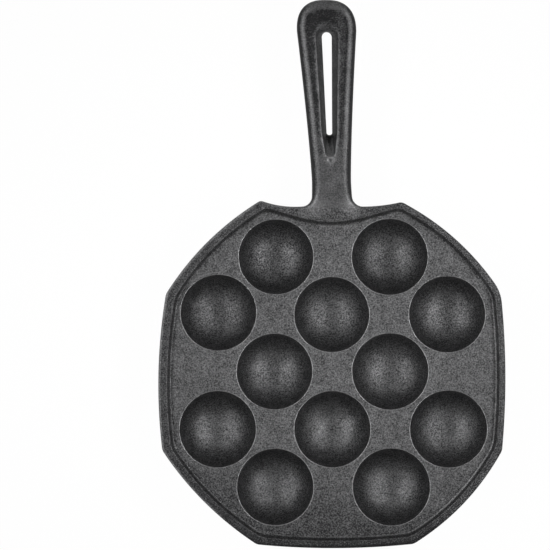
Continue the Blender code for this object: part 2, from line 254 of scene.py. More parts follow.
class TakoyakiPanIron(bpy.types.PropertyGroup):
    """Colours, sheen and grain of the seasoned iron"""

    # The two colours are the iron's own, and also the ends that painted shade and painted highlights move towards
    oil_crust_and_shade: StringProperty(name="Oil crust", description="sRGB hex of the baked oil in the grain", default="2c2c2d")
    rubbed_iron_and_highlight: StringProperty(name="Rubbed iron", description="sRGB hex of the grain's rubbed tops", default="8a8a8b")
    # Moulding sand leaves a grain of about 0.25 mm. That is too fine to show, so it is drawn as coarse as it has to be.
    grain: length("Grain", "Width of a sand grain's print", 0.78 * MM)
    mottle: length("Mottle", "Width of the oil's patches", 6.0 * MM)
    plate_roughness: fraction("Plate roughness", "Roughness of the plate", 0.62)
    cup_roughness: fraction("Cup roughness", "Roughness of the cups", 0.56)
    rim_roughness: fraction("Rim roughness", "Roughness of the rim", 0.6)
    handle_roughness: fraction("Handle roughness", "Roughness of the handle", 0.56)


class TakoyakiPanStudio(bpy.types.PropertyGroup):
    """Lamps, fill light and camera"""

    lamp_power: FloatProperty(name="Lamp power", description="Power in watts that the lamps have shares of", default=0.134, min=0)
    lamp_size: length("Lamp size", "Side of each soft lamp", 0.26)
    lamp_reach: length("Lamp reach", "Distance that the lamps' places are in proportion to", 0.8)
    lamp_spread: FloatProperty(
        name="Lamp spread", description="Angle that each lamp spreads over", default=math.radians(38), subtype="ANGLE"
    )
    pool_place: length("Pool's place", "How far behind the pan's middle the light is aimed", 0.035)
    fill: FloatProperty(name="Fill", description="Strength of the light from all round", default=0.05, min=0)
    camera_height: length("Camera height", "Height of the camera", 2.4)
    picture_width: length("Picture width", "Width that the picture takes in at the plate", 0.30102)


def smooth(value, low, high):
    """Rises smoothly from 0 at low to 1 at high."""
    share = min(max((value - low) / (high - low), 0), 1)
    return share * share * (3 - 2 * share)


def between(first, second, share):
    return first + (second - first) * share


def on_pan(place, height):
    """A point of the model at a place given from the pan's middle."""
    return Vector((place.x + PAN_MIDDLE.x, place.y + PAN_MIDDLE.y, height))


def from_middle(vertices):
    """The vertices' places as seen from the pan's middle."""
    return [vertex.co.xy - PAN_MIDDLE for vertex in vertices]


# The outlines


def inset_corners(corners, insets):
    """The corners of an anticlockwise polygon after each side has moved inward by its own inset."""
    moved = []
    for number, corner in enumerate(corners):
        before = (corner - corners[number - 1]).normalized()
        after = (corners[(number + 1) % len(corners)] - corner).normalized()
        turn = before.cross(after)
        moved.append(corner + (after * insets[number - 1] - before * insets[number]) / turn)
    return moved


def bowed_outline(corners, bows, rounds):
    """A closed outline of bulging sides and rounded corners. A side's bow has the number of its first corner."""
    sides = []
    for number, start in enumerate(corners):
        following = (number + 1) % len(corners)
        along = corners[following] - start
        outward = -along.normalized().orthogonal()
        first = rounds[number] / along.length
        last = 1 - rounds[following] / along.length
        side = []
        for step in range(BOW_STEPS + 1):
            share = between(first, last, step / BOW_STEPS)
            side.append(start + along * share + outward * bows[number] * 4 * share * (1 - share))
        sides.append(side)
    outline = []
    for number, corner in enumerate(corners):
        start, end = sides[number - 1][-1], sides[number][0]
        outline.append(start)
        if rounds[number]:
            for step in range(1, CORNER_STEPS):
                share = step / CORNER_STEPS
                outline.append(start.lerp(corner, share).lerp(corner.lerp(end, share), share))
            outline.append(end)
        outline.extend(sides[number][1:-1])
    return outline


def handle_half_width(along):
    swell = abs(along - HANDLE_NECK_PLACE) / (HANDLE_WIDEST_PLACE - HANDLE_NECK_PLACE)
    width = HANDLE_NECK_WIDTH + (HANDLE_END_WIDTH - HANDLE_NECK_WIDTH) * swell**HANDLE_SWELL_POWER
    left_of_root = max(HANDLE_ROOT_ROUND - along, 0)
    return width / 2 + HANDLE_ROOT_ROUND - math.sqrt(HANDLE_ROOT_ROUND**2 - left_of_root**2)


def handle_place(across, along):
    """A place on the handle, which leans to the left as it goes."""
    return Vector((across - math.tan(HANDLE_LEAN) * along, ROOT_Y + along))


def handle_side():
    """How wide the handle's half is at places from its root to its tip."""
    pairs = []
    for step in range(1, FLARE_STEPS + 1):
        along = HANDLE_ROOT_ROUND * (1 - math.cos(math.pi / 2 * step / FLARE_STEPS))
        pairs.append((handle_half_width(along), along))
    for step in range(1, SHANK_STEPS + 1):
        along = between(HANDLE_ROOT_ROUND, HANDLE_WIDEST_PLACE, step / SHANK_STEPS)
        pairs.append((handle_half_width(along), along))
    for step in range(1, TIP_STEPS):
        turn = math.pi / 2 * step / TIP_STEPS
        half = HANDLE_END_WIDTH / 2 * math.cos(turn) ** (2 / HANDLE_END_POWER)
        pairs.append((half, HANDLE_WIDEST_PLACE + HANDLE_END_RUN * math.sin(turn) ** (2 / HANDLE_END_POWER)))
    return pairs


def outer_edge():
    """The whole casting's outline, anticlockwise, and the numbers of its points halfway round the handle's flares."""
    roots = [Vector((handle_half_width(0), ROOT_Y)), Vector((-handle_half_width(0), ROOT_Y))]
    corners = PAN_CORNERS[:4] + roots + PAN_CORNERS[4:]
    bows = SIDE_BOWS[:3] + [BACK_RIGHT_BOW, 0, BACK_LEFT_BOW] + SIDE_BOWS[4:]
    rounds = [CORNER_ROUND] * 2 + [BACK_RIGHT_ROUND, CORNER_ROUND, 0, 0] + [CORNER_ROUND] * 4
    pan = bowed_outline(corners, bows, rounds)
    first, last = (pan.index(root) for root in roots)
    side = handle_side()
    handle = [handle_place(half, along) for half, along in side]
    handle.append(handle_place(0, HANDLE_LENGTH))
    handle += [handle_place(-half, along) for half, along in reversed(side)]
    half_flare = FLARE_STEPS // 2
    return pan[: first + 1] + handle + pan[last:], first + half_flare, first + len(handle) + 1 - half_flare


def pocket_edge(beyond):
    """The inside of the rim, at the level where it lies so far beyond the band's width."""
    corners = PAN_CORNERS[:4] + [POCKET_TIP] + PAN_CORNERS[4:]
    bands = BAND_WIDTHS[:4] + [BACK_LEFT_BAND] + BAND_WIDTHS[4:]
    bows = SIDE_BOWS[:4] + [0] + SIDE_BOWS[4:]
    rounds = [POCKET_CORNER_ROUND] * 4 + [POCKET_TIP_ROUND] + [POCKET_CORNER_ROUND] * 4
    return bowed_outline(inset_corners(corners, [band + beyond for band in bands]), bows, rounds)


def nearest(places, loops):
    """The distance from each place to the nearest of some closed loops."""
    least = numpy.full(len(places), numpy.inf)
    spots = numpy.array([tuple(place) for place in places]).reshape(-1, 2)
    for loop in loops:
        starts = numpy.array([tuple(point) for point in loop])
        runs = numpy.roll(starts, -1, axis=0) - starts
        for start, run in zip(starts, runs):
            share = numpy.clip((spots - start) @ run / max(run @ run, 1e-18), 0, 1)
            gaps = numpy.linalg.norm(spots - start - share[:, None] * run, axis=1)
            least = numpy.minimum(least, gaps)
    return least


def inside(places, loops):
    """For each place, whether it lies inside an odd number of closed loops."""
    odd = numpy.zeros(len(places), dtype=bool)
    spots = numpy.array([tuple(place) for place in places]).reshape(-1, 2)
    x, y = spots[:, 0], spots[:, 1]
    for loop in loops:
        for number, (bx, by) in enumerate(loop):
            ax, ay = loop[number - 1]
            if ay == by:
                continue
            crosses = (ay > y) != (by > y)
            odd ^= crosses & (x < (bx - ax) * (y - ay) / (by - ay) + ax)
    return odd


# Heights of the casting's top and underside


def along_and_across(place):
    along = place.y - ROOT_Y
    return along, place.x + math.tan(HANDLE_LEAN) * along


def rise(along):
    """How far the handle has risen at a place along it, with a soft start at its root."""
    bent = (along + math.sqrt(along * along + RISE_BEND * RISE_BEND)) / 2
    return math.tan(HANDLE_RISE) * bent * smooth(along, *RISE_START)


def droop(along):
    """How far top and underside close in towards the handle's tip."""
    return TIP_DROOP * min(max((along - HANDLE_WIDEST_PLACE) / HANDLE_END_RUN, 0), 1) ** 4


def top_height(place, form, from_edge=0.0):
    """The height of rim and handle, dished on the handle as the place lies farther from its edge."""
    along, across = along_and_across(place)
    swell = smooth(along, *SWELL_START) * (1 - smooth(along, *SWELL_END)) * (1 - smooth(abs(across), *SWELL_SIDE))
    height = RIM_TOP + rise(along) - droop(along) + form.root_swell * swell + MOUND_HEIGHT * mound(place)
    run = form.handle_edge_run
    return height - form.handle_dish * smooth(along, *DISH_START) * smooth(from_edge, run, run + DISH_SLOPE)


def mound(place):
    """1 on the ring of the little mound that casting left where the groove runs out, and below 0 in its pit."""
    distance = (place - MOUND_PLACE).length
    ring = math.exp(-(((distance - MOUND_RING) / MOUND_WIDTH) ** 2))
    return ring - MOUND_PIT * math.exp(-((distance / MOUND_WIDTH) ** 2))


def hand_wear_and_flare_highlight(place):
    """How much hands have polished the handle's top, and a painted highlight on the two flares at its root."""
    along, across = along_and_across(place)
    top = smooth(along, -9 * MM, 1 * MM) * (1 - smooth(abs(across), 14 * MM, 22 * MM))
    flare = math.exp(-(((abs(across) - 10 * MM) / (4 * MM)) ** 2) - ((along + 0.5 * MM) / (5.5 * MM)) ** 2)
    return HAND_WEAR * top + FLARE_HIGHLIGHT * flare


def under_height(place):
    along, _ = along_and_across(place)
    share = min(max(along / HANDLE_LENGTH, 0), 1)
    return PLATE_UNDERSIDE + rise(along) - HANDLE_THICKNESS_GAIN * share + droop(along)


# The skin of rim and handle, which are one surface in the casting


class Skin:
    """A mesh in the making, whose vertices carry how far they are polished, together with painted highlights and
    painted shade.
    """

    def __init__(self):
        self.mesh = bmesh.new()
        self.wear_and_painted_light = self.mesh.verts.layers.float.new("wear_and_painted_light")

    def point(self, place, height, wear_and_painted_light=0.0):
        vertex = self.mesh.verts.new(on_pan(place, height))
        vertex[self.wear_and_painted_light] = wear_and_painted_light
        return vertex

    def strip(self, low, high):
        """Quads between two closed loops of equally many vertices."""
        faces = []
        for number in range(len(low)):
            faces.append(self.mesh.faces.new((low[number - 1], low[number], high[number], high[number - 1])))
        return faces

    def fill(self, loops, paths, free, height, wear_and_painted_light):
        """Triangles between closed loops, through free places and through open paths that end on the loops."""
        vertices, edges = [], []
        for loop in loops:
            first = len(vertices)
            vertices.extend(loop)
            edges.extend((first + number, first + (number + 1) % len(loop)) for number in range(len(loop)))
        for path in paths:
            first = len(vertices)
            vertices.extend(path[1:-1])
            ends = [vertices.index(vertex) for vertex in (path[0], path[-1])]
            numbers = ends[:1] + list(range(first, len(vertices))) + ends[1:]
            edges.extend(zip(numbers, numbers[1:]))
        places = from_middle(vertices)
        known = len(places)
        places.extend(free)
        found, _, triangles, origins, _, _ = delaunay_2d_cdt(places, edges, [], 0, 1e-9)
        corners = []
        for place, origin in zip(found, origins):
            if len(origin) != 1:
                raise RuntimeError("two edges of the casting cross or meet where they should not")
            if origin[0] < known:
                corners.append(vertices[origin[0]])
            else:
                corners.append(self.point(place, height(place), wear_and_painted_light(place)))
        middles = [sum((found[corner] for corner in triangle), Vector((0, 0))) / 3 for triangle in triangles]
        kept = inside(middles, [from_middle(loop) for loop in loops])
        faces = []
        for triangle, middle, keep in zip(triangles, middles, kept):
            if keep:
                faces.append((self.mesh.faces.new([corners[corner] for corner in triangle]), middle))
        return faces


def edge_sections(form):
    """At each point of the outer edge, the places and heights from the top, over the edge, to the underside."""
    edge, first, last = outer_edge()
    travel = [0.0]
    for start, end in zip(edge, edge[1:]):
        travel.append(travel[-1] + (end - start).length)
    sections = []
    for number, point in enumerate(edge):
        before = (point - edge[number - 1]).normalized()
        after = (edge[(number + 1) % len(edge)] - point).normalized()
        inward = (before + after).normalized().orthogonal()
        into_handle = min(travel[number] - travel[first], travel[last] - travel[number])
        handle = smooth(into_handle, *EDGE_START)
        rightness = smooth(point.x, -REACH, REACH)
        along, _ = along_and_across(point)
        far = smooth(along, *SHANK)
        tip = smooth(along, HANDLE_WIDEST_PLACE + 8 * MM, HANDLE_LENGTH)
        front = smooth(-point.y, REACH - 10 * MM, REACH + 8 * MM)
        wide = rightness * (1 - smooth(point.y, *NARROW_BACK))
        run = between(between(form.rim_round_left, form.rim_round_right, wide), form.handle_edge_run, handle)
        under_run = between(form.under_round, form.handle_edge_run, handle)
        top = top_height(point + inward * run, form)
        low = under_height(point + inward * under_run)
        drop = between(form.rim_round_drop, (top - low) * 0.58, handle)
        lift = between(form.under_round, (top - low) * 0.38, handle)
        draft = between(form.draft, 0, handle)
        # The handle's sides get painted shade, except at its tip, and along the shank a painted highlight runs on the
        # ridge over them
        ridge = between(0.0, between(0.38, 0.22, rightness), far)
        side = between(-SIDE_SHADE, 0.05, tip)
        section = []
        for step in range(EDGE_STEPS, -1, -1):
            turn = math.pi / 2 * step / EDGE_STEPS
            inset = run - (run - draft) * math.cos(turn)
            # The rim's outer round: a painted highlight on the left side, painted shade along the front
            paleness = math.sin(2 * turn) * between(between(LEFT_RIM_HIGHLIGHT, 0.0, rightness), -FRONT_RIM_SHADE, front)
            pale_share = smooth(turn, math.radians(30), math.radians(68))
            pale_share *= 1 - 0.6 * far * smooth(turn, math.radians(70), math.pi / 2)
            place = point + inward * inset
            wear_and_painted_light = between(paleness, between(side, ridge, pale_share), handle) + hand_wear_and_flare_highlight(place) * pale_share
            section.append((place, top - drop * (1 - math.sin(turn)), wear_and_painted_light))
        for step in range(EDGE_STEPS + 1):
            turn = math.pi / 2 * step / EDGE_STEPS
            section.append((point + inward * under_run * (1 - math.cos(turn)), low + lift * (1 - math.sin(turn)), 0.0))
        sections.append(section)
    return sections, first, last


def pocket_levels(form, base_round):
    """Ways in and drops from the band's edge, over it, down the wall and round on to the plate."""
    height = RIM_TOP - PLATE_TOP
    slope = Vector((RIM_WALL_RUN, height)).normalized()
    levels = []
    top_corner = Vector((0, 0))
    top_start = top_corner - Vector((form.pocket_top_round, 0))
    top_end = top_corner + slope * form.pocket_top_round
    base_corner = Vector((RIM_WALL_RUN, height))
    base_start = base_corner - slope * base_round
    base_end = base_corner + Vector((base_round, 0))
    # A painted highlight line along the top round and along the base fillet, strongest halfway round each
    for start, corner, end, wear_and_painted_light in (
        (top_start, top_corner, top_end, POCKET_TOP_HIGHLIGHT),
        (base_start, base_corner, base_end, POCKET_BASE_HIGHLIGHT),
    ):
        for step in range(EDGE_STEPS):
            share = step / (EDGE_STEPS - 1)
            bent = start.lerp(corner, share).lerp(corner.lerp(end, share), share)
            levels.append((bent.x, bent.y, wear_and_painted_light * 4 * share * (1 - share)))
    return levels


def pocket_loops(form):
    """The places, drops and painted highlights round the pocket, level by level. Its base's fillet is smaller along the
    back.
    """
    wide = pocket_levels(form, form.pocket_base_round)
    narrow = pocket_levels(form, form.pocket_back_round)
    loops = []
    for (wide_beyond, wide_drop, wear_and_painted_light), (narrow_beyond, narrow_drop, _) in zip(wide, narrow):
        loop = []
        for wide_place, narrow_place in zip(pocket_edge(wide_beyond), pocket_edge(narrow_beyond)):
            back = smooth(wide_place.y, HALF_PITCH, 2 * HALF_PITCH)
            drop = between(wide_drop, narrow_drop, back)
            x, y = wide_place / REACH
            # The base fillet's painted highlight is left off along the back, weaker on the left and stronger at the
            # front right
            paleness = (1 - back) * between(0.4, 1, smooth(x, -1, 0))
            paleness *= 1 + 0.8 * smooth(x, 0.4, 0.75) * smooth(-y, 0.3, 0.7)
            worn_and_lit = wear_and_painted_light * paleness if drop > form.pocket_top_round else wear_and_painted_light
            loop.append((wide_place.lerp(narrow_place, back), drop, worn_and_lit))
        loops.append(loop)
    return loops


def slot_ring(form, share, spread):
    """The slot's outline at a share of the handle's thickness, widened by a spread.

    Above its near end the slot's floor climbs, so that its outline there reaches nearer the root with height.
    """
    tip = SLOT_NEAR_PLACE - GROOVE_NEAR_RUN * share

    def half_width(along):
        wall = between(GROOVE_NEAR_WALL, GROOVE_FAR_WALL, smooth(along, SLOT_NEAR_PLACE, SLOT_FAR_PLACE))
        if along < SLOT_NEAR_PLACE:
            return SLOT_NEAR_HALF + wall * (share - 0.6 * (SLOT_NEAR_PLACE - along) / GROOVE_NEAR_RUN)
        length = (along - SLOT_NEAR_PLACE) / (SLOT_FAR_PLACE - SLOT_NEAR_PLACE)
        return between(SLOT_NEAR_HALF, SLOT_FAR_HALF, length) + wall * share

    pairs = []
    near_half = half_width(tip)
    for step in range(SLOT_END_STEPS):
        turn = math.pi / 2 * step / SLOT_END_STEPS
        pairs.append(((near_half + spread) * math.sin(turn), tip - (near_half * 0.8 + spread) * math.cos(turn)))
    for step in range(SLOT_SIDE_STEPS + 1):
        along = between(tip, SLOT_FAR_MIDDLE, step / SLOT_SIDE_STEPS)
        pairs.append((half_width(along) + spread, along))
    far_half = half_width(SLOT_FAR_MIDDLE)
    for step in range(1, SLOT_END_STEPS + 1):
        turn = math.pi / 2 * step / SLOT_END_STEPS
        reach = SLOT_FAR_HALF + GROOVE_FAR_RUN * share**5 + spread
        pairs.append(((far_half + spread) * math.cos(turn), SLOT_FAR_MIDDLE + reach * math.sin(turn)))
    left = [(-across, along) for across, along in reversed(pairs[1:-1])]
    ring = []
    for across, along in pairs + left:
        shift = SLOT_NEAR_SHIFT * (1 - smooth(along, SLOT_NEAR_PLACE, SLOT_FAR_PLACE))
        ring.append(handle_place(across + shift, along))
    return ring


def slot_loops(skin, form, handle_outline):
    """The slot's loops from the underside up, rounded over at both ends."""
    edge_round = form.groove_round
    below_round = 1 - edge_round / (RIM_TOP - PLATE_UNDERSIDE)
    # For each loop: the share for its outline and its widening, the share for its height and its lift, and its painted
    # shade below 0, down the groove's walls, and painted highlight above 0, along the slot's top edge
    steps = [(0, 1, 0, 0, 0), (0, 0.3, 0, 0.3, 0), (0, 0, 0, 1, 0)]
    steps += [(share, 0, share, 0, -SLOT_WALL_SHADE) for share in (0.15, 0.3, 0.45, 0.6, 0.75, 0.88)]
    steps += [(below_round, 0, 1, -1, 0.2), (1, 0.3, 1, -0.3, 0.6), (1, 1, 1, 0, 0.3)]
    loops = []
    for outline_share, spread, share, lift, wear_and_painted_light in steps:
        ring = slot_ring(form, outline_share, spread * edge_round)
        loop = []
        for place, gap in zip(ring, nearest(ring, [handle_outline])):
            low, top = under_height(place), top_height(place, form, gap)
            along, across = along_and_across(place)
            # A painted highlight on the ramp where the groove's floor climbs beyond the slot's near end
            ramp = 0.55 * smooth(SLOT_NEAR_PLACE - along, 0, 7 * MM) - SLOT_WALL_SHADE
            # The painted highlight line along the slot's edge fades towards its far end, on the right from halfway
            fading = (40 if across > 0 else 16) * MM
            line = wear_and_painted_light * (1 - 0.55 * smooth(along, SLOT_FAR_PLACE - fading, SLOT_FAR_PLACE - 4 * MM))
            line *= 1 - smooth(along, SLOT_FAR_PLACE - 3 * MM, SLOT_FAR_PLACE + 1 * MM)
            loop.append(skin.point(place, between(low, top, share) + lift * edge_round, max(line, ramp)))
        loops.append(loop)
    return loops


def side_faces(skin, form, loops, ends, handle_outline, top_side):
    """The faces of the casting's top or underside, each with its middle, and the path between rim and handle."""
    start, end = ends
    path = [start]
    for step in range(1, CUT_STEPS):
        place = start.co.xy.lerp(end.co.xy, step / CUT_STEPS) - PAN_MIDDLE
        if top_side:
            path.append(skin.point(place, top_height(place, form), hand_wear_and_flare_highlight(place)))
        else:
            path.append(skin.point(place, under_height(place)))
    path.append(end)
    outlines = [from_middle(loop) for loop in loops]
    pitch = TOP_PITCH if top_side else UNDER_PITCH
    grid = []
    for line in range(int((HANDLE_LENGTH - GRID_START) / pitch)):
        for column in range(-GRID_HALF_COLUMNS, GRID_HALF_COLUMNS + 1):
            grid.append(handle_place((column + line % 2 / 2) * pitch, GRID_START + line * pitch))
    if top_side:
        spots = [MOUND_PLACE + Vector((a, b)) * MOUND_PITCH for a in range(-6, 7) for b in range(-6, 7)]
        grid = [place for place in grid if (place - MOUND_PLACE).length > 4 * MM] + spots
    room = nearest(grid, outlines + [from_middle(path)])
    grid = [place for place, gap, keep in zip(grid, room, inside(grid, outlines)) if keep and gap > GRID_ROOM]
    from_edge = {place_key(place): gap for place, gap in zip(grid, nearest(grid, [handle_outline]))}

    def height(place):
        return top_height(place, form, from_edge[place_key(place)]) if top_side else under_height(place)

    def wear_and_painted_light(place):
        if not top_side:
            return 0.0
        along, across = along_and_across(place)
        # Darker in the handle's dish
        darkening = DISH_DARKENING * smooth(along, 16 * MM, 50 * MM) * (1 - 0.5 * smooth(across, 4 * MM, 10 * MM))
        # The mound's ring gets a painted highlight and its pit painted shade
        return hand_wear_and_flare_highlight(place) + MOUND_HIGHLIGHT_AND_SHADE * mound(place) - darkening

    return skin.fill(loops, [path], grid, height, wear_and_painted_light), path


def place_key(place):
    return round(place.x, 7), round(place.y, 7)


def casting_skin(form):
    """Rim and handle as one surface: outer edge, top, pocket wall, slot and underside, and what belongs to which."""
    skin = Skin()
    sections, first, last = edge_sections(form)
    rows = []
    for level in range(len(sections[0])):
        rows.append([skin.point(*section[level]) for section in sections])
    handle_faces, rim_faces, inner_faces = [], [], []
    for upper, lower in zip(rows, rows[1:]):
        for number, face in enumerate(skin.strip(upper, lower)):
            (handle_faces if first < number <= last else rim_faces).append(face)
    handle_outline = outer_edge()[0][first : last + 1]

    pocket = []
    levels = pocket_loops(form)
    for level in levels:
        loop = []
        for place, drop, wear_and_painted_light in level:
            height = PLATE_TOP if level is levels[-1] else top_height(place, form) - drop
            loop.append(skin.point(place, height, wear_and_painted_light))
        pocket.append(loop)
    for upper, lower in zip(pocket, pocket[1:]):
        rim_faces += skin.strip(upper, lower)
    pocket_under = [skin.point(place, PLATE_UNDERSIDE) for place, _, _ in levels[-1]]
    inner_faces += skin.strip(pocket[-1], pocket_under)

    slot = slot_loops(skin, form, handle_outline)
    for lower, upper in zip(slot, slot[1:]):
        handle_faces += skin.strip(lower, upper)

    cut_paths = []
    for row, hole, slot_loop, top_side in (
        (rows[0], pocket[0], slot[-1], True),
        (rows[-1], pocket_under, slot[0], False),
    ):
        faces, path = side_faces(skin, form, [row, hole, slot_loop], (row[first], row[last]), handle_outline, top_side)
        on_handle = inside([middle for _, middle in faces], [from_middle(row[first : last + 1])])
        for (face, _), belongs in zip(faces, on_handle):
            (handle_faces if belongs else rim_faces).append(face)
        cut_paths.append(path)
    top_path, under_path = cut_paths
    right_wall = [row[first] for row in rows]
    left_wall = [row[last] for row in rows]
    cut = right_wall + under_path[1:-1] + left_wall[::-1] + top_path[1:-1][::-1]
    bmesh.ops.recalc_face_normals(skin.mesh, faces=skin.mesh.faces)
    skin.mesh.normal_update()
    # The hidden face against the plate leaves the shading beside it alone
    for ring, upward in ((pocket[-1], 1), (pocket_under, -1)):
        for vertex in ring:
            vertex.normal = Vector((0, 0, upward))
    return skin, rim_faces, handle_faces, inner_faces, cut


def casting_piece(name, skin, faces, inner_faces, cut, facing):
    """One closed piece of the casting's surface. Where it was cut it keeps the whole surface's shading."""
    numbers, places, normals, wear_and_painted_light = {}, [], [], []

    def number_of(vertex):
        if vertex not in numbers:
            numbers[vertex] = len(places)
            places.append(vertex.co.copy())
            normals.append(vertex.normal.copy())
            wear_and_painted_light.append(vertex[skin.wear_and_painted_light])
        return numbers[vertex]

    polygons = [([number_of(vertex) for vertex in face.verts], None) for face in faces]
    polygons += [([number_of(vertex) for vertex in face.verts], face.normal.copy()) for face in inner_faces]
    cap = [number_of(vertex) for vertex in cut]
    middle = sum((vertex.co for vertex in cut), Vector()) / len(cut)
    outward = sum(((a.co - middle).cross(b.co - middle) for a, b in zip(cut, cut[1:])), Vector()).y * facing
    if outward < 0:
        cap.reverse()
    places.append(middle)
    normals.append(Vector((0, facing, 0)))
    wear_and_painted_light.append(0.0)
    for corner, following in zip(cap, cap[1:] + cap[:1]):
        polygons.append(((len(places) - 1, corner, following), Vector((0, facing, 0))))
    mesh = bpy.data.meshes.new(name)
    mesh.from_pydata(places, [], [corners for corners, _ in polygons])
    mesh.shade_smooth()
    attribute = mesh.attributes.new("wear_and_painted_light", "FLOAT", "POINT")
    attribute.data.foreach_set("value", wear_and_painted_light)
    loop_normals = []
    for corners, flat in polygons:
        for corner in corners:
            loop_normals.append(flat if flat is not None else normals[corner])
    mesh.normals_split_custom_set(loop_normals)
    return add_piece(name, mesh)


def add_piece(name, mesh):
    piece = bpy.data.objects.new(name, mesh)
    bpy.context.scene.collection.objects.link(piece)
    return piece


def finish_piece(piece, node, material):
    piece.data.materials.append(material)
    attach(piece, "root")
    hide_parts(node)


# The cups and the plate


def arc(centre, radius, start, end, steps):
    """Points on an arc, from one angle to another, measured from straight out."""
    points = []
    for step in range(steps + 1):
        turn = between(start, end, step / steps)
        points.append((centre[0] + radius * math.cos(turn), centre[1] + radius * math.sin(turn)))
    return points


def inner_ball(mouth):
    """The radius of a cup's inner ball and the height of its middle."""
    radius = (mouth**2 + CUP_DEPTH**2) / (2 * CUP_DEPTH)
    return radius, PLATE_TOP - CUP_DEPTH + radius


def lip_circle(form, mouth):
    """The middle of the round over a cup's lip, in the cup's section."""
    radius, middle = inner_ball(mouth)
    height = PLATE_TOP - form.lip_round
    return math.sqrt((radius + form.lip_round) ** 2 - (height - middle) ** 2), height


def hole_radius(form, mouth):
    return lip_circle(form, mouth)[0] + 0.1 * MM


def cup_section(form, mouth):
    """The cup's inside from its floor to its lip, the hidden face against the plate, and its outside."""
    radius, middle = inner_ball(mouth)
    lip = lip_circle(form, mouth)
    tilt = math.atan2(lip[1] - middle, lip[0])
    inner = [(0.0, middle - radius)]
    inner += arc((0, middle), radius, math.radians(-84), tilt, 18)
    over = arc(lip, form.lip_round, tilt + math.pi, math.pi / 2, 7)[1:]
    hole = hole_radius(form, mouth)
    hidden = [(hole, PLATE_TOP), (hole, PLATE_UNDERSIDE)]
    flare = form.bowl_flare
    height = PLATE_UNDERSIDE - flare
    reach = math.sqrt((SHELL_RADIUS + flare) ** 2 - (height - CENTRE_HEIGHT) ** 2)
    slant = math.atan2(height - CENTRE_HEIGHT, reach)
    outer = arc((reach, height), flare, math.pi / 2, slant + math.pi, 5)
    foot = math.acos(CUP_FOOT_RADIUS / SHELL_RADIUS)
    outer += arc((0, CENTRE_HEIGHT), SHELL_RADIUS, slant, -foot, 12)[1:]
    outer.append((0.0, 0.0))
    return inner, over, hidden, outer


def cup_mesh(name, centre, mouth, form):
    """A turned cup, a little out of true as a sand mould leaves it."""
    mesh = bmesh.new()
    wear_and_painted_light = mesh.verts.layers.float.new("wear_and_painted_light")
    inner, over, hidden, outer = cup_section(form, mouth)
    # Painted light: each cup is paler towards its floor than at its walls, the more so nearer the front
    paleness = CUP_FLOOR_LIGHT - CUP_FLOOR_LIGHT_PER_METRE * (centre.y - PAN_MIDDLE.y)
    points = [(r, z, paleness * (1 - smooth(r, 0.5 * mouth, 0.9 * mouth)), 1.0) for r, z in inner]
    # A painted highlight line over each lip's round, strongest halfway over it
    points += [(r, z, 1 - abs(2 * number / len(over) - 1), 0.0) for number, (r, z) in enumerate(over)]
    points += [(r, z, 0.0, 0.0) for r, z in hidden]
    points += [(r, z, 0.0, 1.0) for r, z in outer]
    middle = Vector((0, 0, CENTRE_HEIGHT))
    rings = []
    for radius, height, worn_and_lit, loose in points:
        ring = []
        for turn in range(form.turns if radius else 1):
            angle = 2 * math.pi * turn / form.turns
            place = Vector((radius * math.cos(angle), radius * math.sin(angle), height))
            outward = (place - middle).normalized()
            seed = place + Vector((centre.x, centre.y, 0)) * 3
            stray = noise.noise(seed / (11 * MM)) + 0.4 * noise.noise(seed / (4.5 * MM))
            fade = smooth(mouth - radius, 0.2 * MM, 5 * MM) * smooth(height, 0, 1.5 * MM)
            place += outward * form.unevenness * stray * fade * loose
            vertex = mesh.verts.new(place + Vector((centre.x, centre.y, 0)))
            vertex[wear_and_painted_light] = worn_and_lit
            ring.append(vertex)
        rings.append(ring)
    for low, high in zip(rings, rings[1:]):
        for turn in range(form.turns):
            corners = [low[(turn - 1) % len(low)], low[turn % len(low)]]
            corners += [high[turn % len(high)], high[(turn - 1) % len(high)]]
            mesh.faces.new(list(dict.fromkeys(corners)))
    bmesh.ops.recalc_face_normals(mesh, faces=mesh.faces)
    made = bpy.data.meshes.new(name)
    mesh.to_mesh(made)
    mesh.free()
    made.shade_smooth()
    made.set_sharp_from_angle(angle=math.radians(50))
    return made


def plate_mesh(form):
    """The flat plate inside the rim's fillet, with a hole for each cup's lip."""
    skin = Skin()
    outlines = [[place for place, _, _ in pocket_loops(form)[-1]]]
    for centre, mouth in CUPS:
        radius = hole_radius(form, mouth)
        outlines.append([
            centre - PAN_MIDDLE + Vector((math.cos(turn), math.sin(turn))) * radius
            for turn in (2 * math.pi * number / form.turns for number in range(form.turns))
        ])
    tops = [[skin.point(place, PLATE_TOP) for place in outline] for outline in outlines]
    lows = [[skin.point(place, PLATE_UNDERSIDE) for place in outline] for outline in outlines]
    skin.fill(tops, [], [], None, None)
    skin.fill(lows, [], [], None, None)
    for top, low in zip(tops, lows):
        skin.strip(top, low)
    bmesh.ops.recalc_face_normals(skin.mesh, faces=skin.mesh.faces)
    mesh = bpy.data.meshes.new("griddle_plate_skin")
    skin.mesh.to_mesh(mesh)
    skin.mesh.free()
    return mesh


# Materials


def linear(code):
    """An sRGB hex colour as the linear one that shaders take."""
    shares = [int(code[number : number + 2], 16) / 255 for number in (0, 2, 4)]
    return [share / 12.92 if share <= 0.04045 else ((share + 0.055) / 1.055) ** 2.4 for share in shares] + [1.0]


def add_node(tree, kind, settings=(), **links):
    """A node of one kind, with its settings, and its inputs: a socket to link, or a value.

    An input goes by its name, with _ for a space, or by i and its number.
    """
    node = tree.nodes.new(kind)
    for name, value in dict(settings).items():
        setattr(node, name, value)
    for name, value in links.items():
        numbered = name[0] == "i" and name[1:].isdigit()
        socket = node.inputs[int(name[1:]) if numbered else name.replace("_", " ")]
        if isinstance(value, bpy.types.NodeSocket):
            tree.links.new(value, socket)
        else:
            socket.default_value = value
    return node


